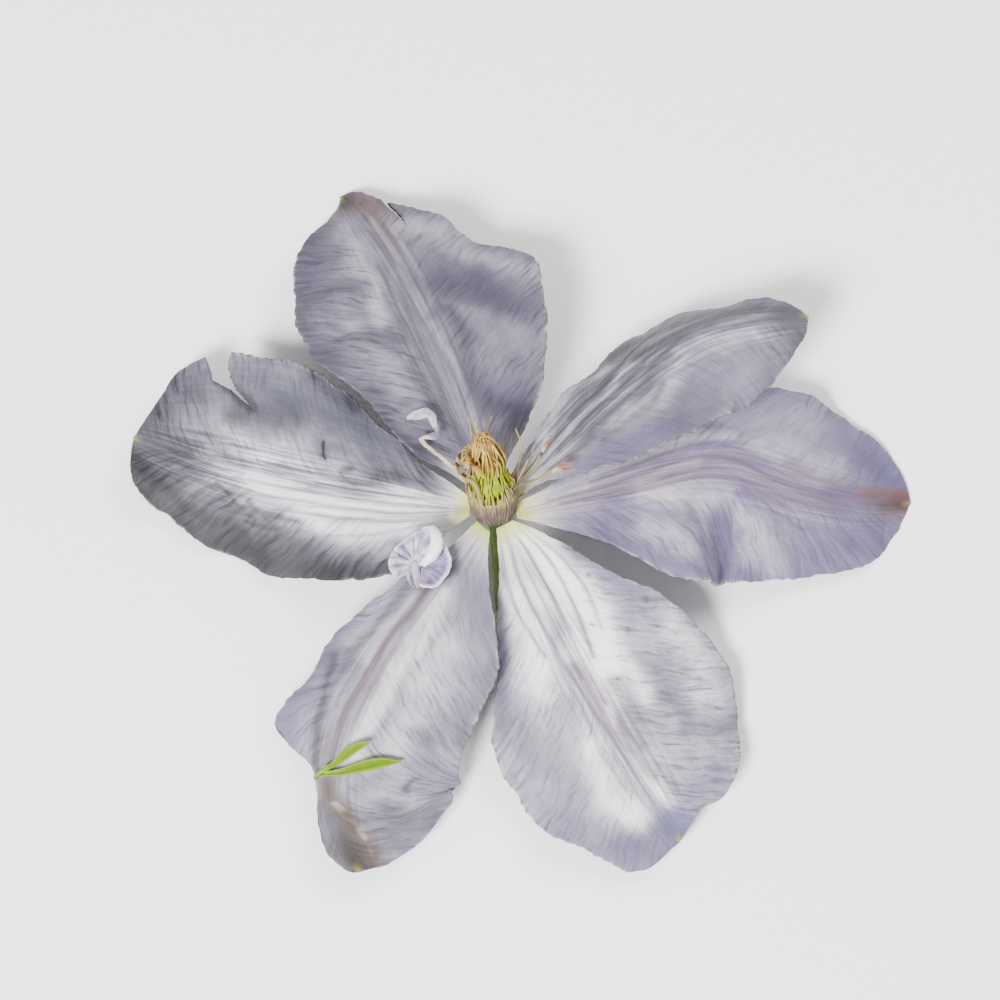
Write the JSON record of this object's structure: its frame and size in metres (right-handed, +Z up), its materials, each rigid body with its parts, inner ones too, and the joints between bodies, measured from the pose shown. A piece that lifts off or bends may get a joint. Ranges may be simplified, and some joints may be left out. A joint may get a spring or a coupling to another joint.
{
  "type": "clematis flower",
  "caption": "Open clematis flower with broad wavy lilac tepals round a cup of stamen bases, green ovaries and tan styles, laid face up as a display piece.",
  "frame": {"origin": "middle of the whole flower's outline, at the height of the surface that it lies on", "axes": "+Z up, out of the flower's face; +Y towards the tepal called top; +X towards the tepal called right"},
  "size_m": [0.1396, 0.129, 0.026],
  "materials": {
    "lilac tepal": "matte",
    "green stalk": "satin",
    "filament base": "matte",
    "ovary": "satin",
    "style": "matte",
    "anther": "matte",
    "speckled petaloid": "matte",
    "white petaloid": "matte",
    "leaflet": "satin"
  },
  "bodies": {
    "root": {"tepal_top": "lilac tepal", "tepal_upper_right": "lilac tepal", "tepal_right": "lilac tepal", "tepal_lower_right": "lilac tepal", "tepal_lower_left": "lilac tepal", "tepal_left": "lilac tepal", "pedicel": "green stalk", "filament_cup": "filament base", "ovaries": "ovary", "styles": "style", "anther_upper": "anther", "anther_right": "anther", "speckled_petaloid": "speckled petaloid", "petaloid_stamen": "white petaloid", "curled_petaloid": "white petaloid", "leaf_sprig": "leaflet"}
  },
  "joints": []
}
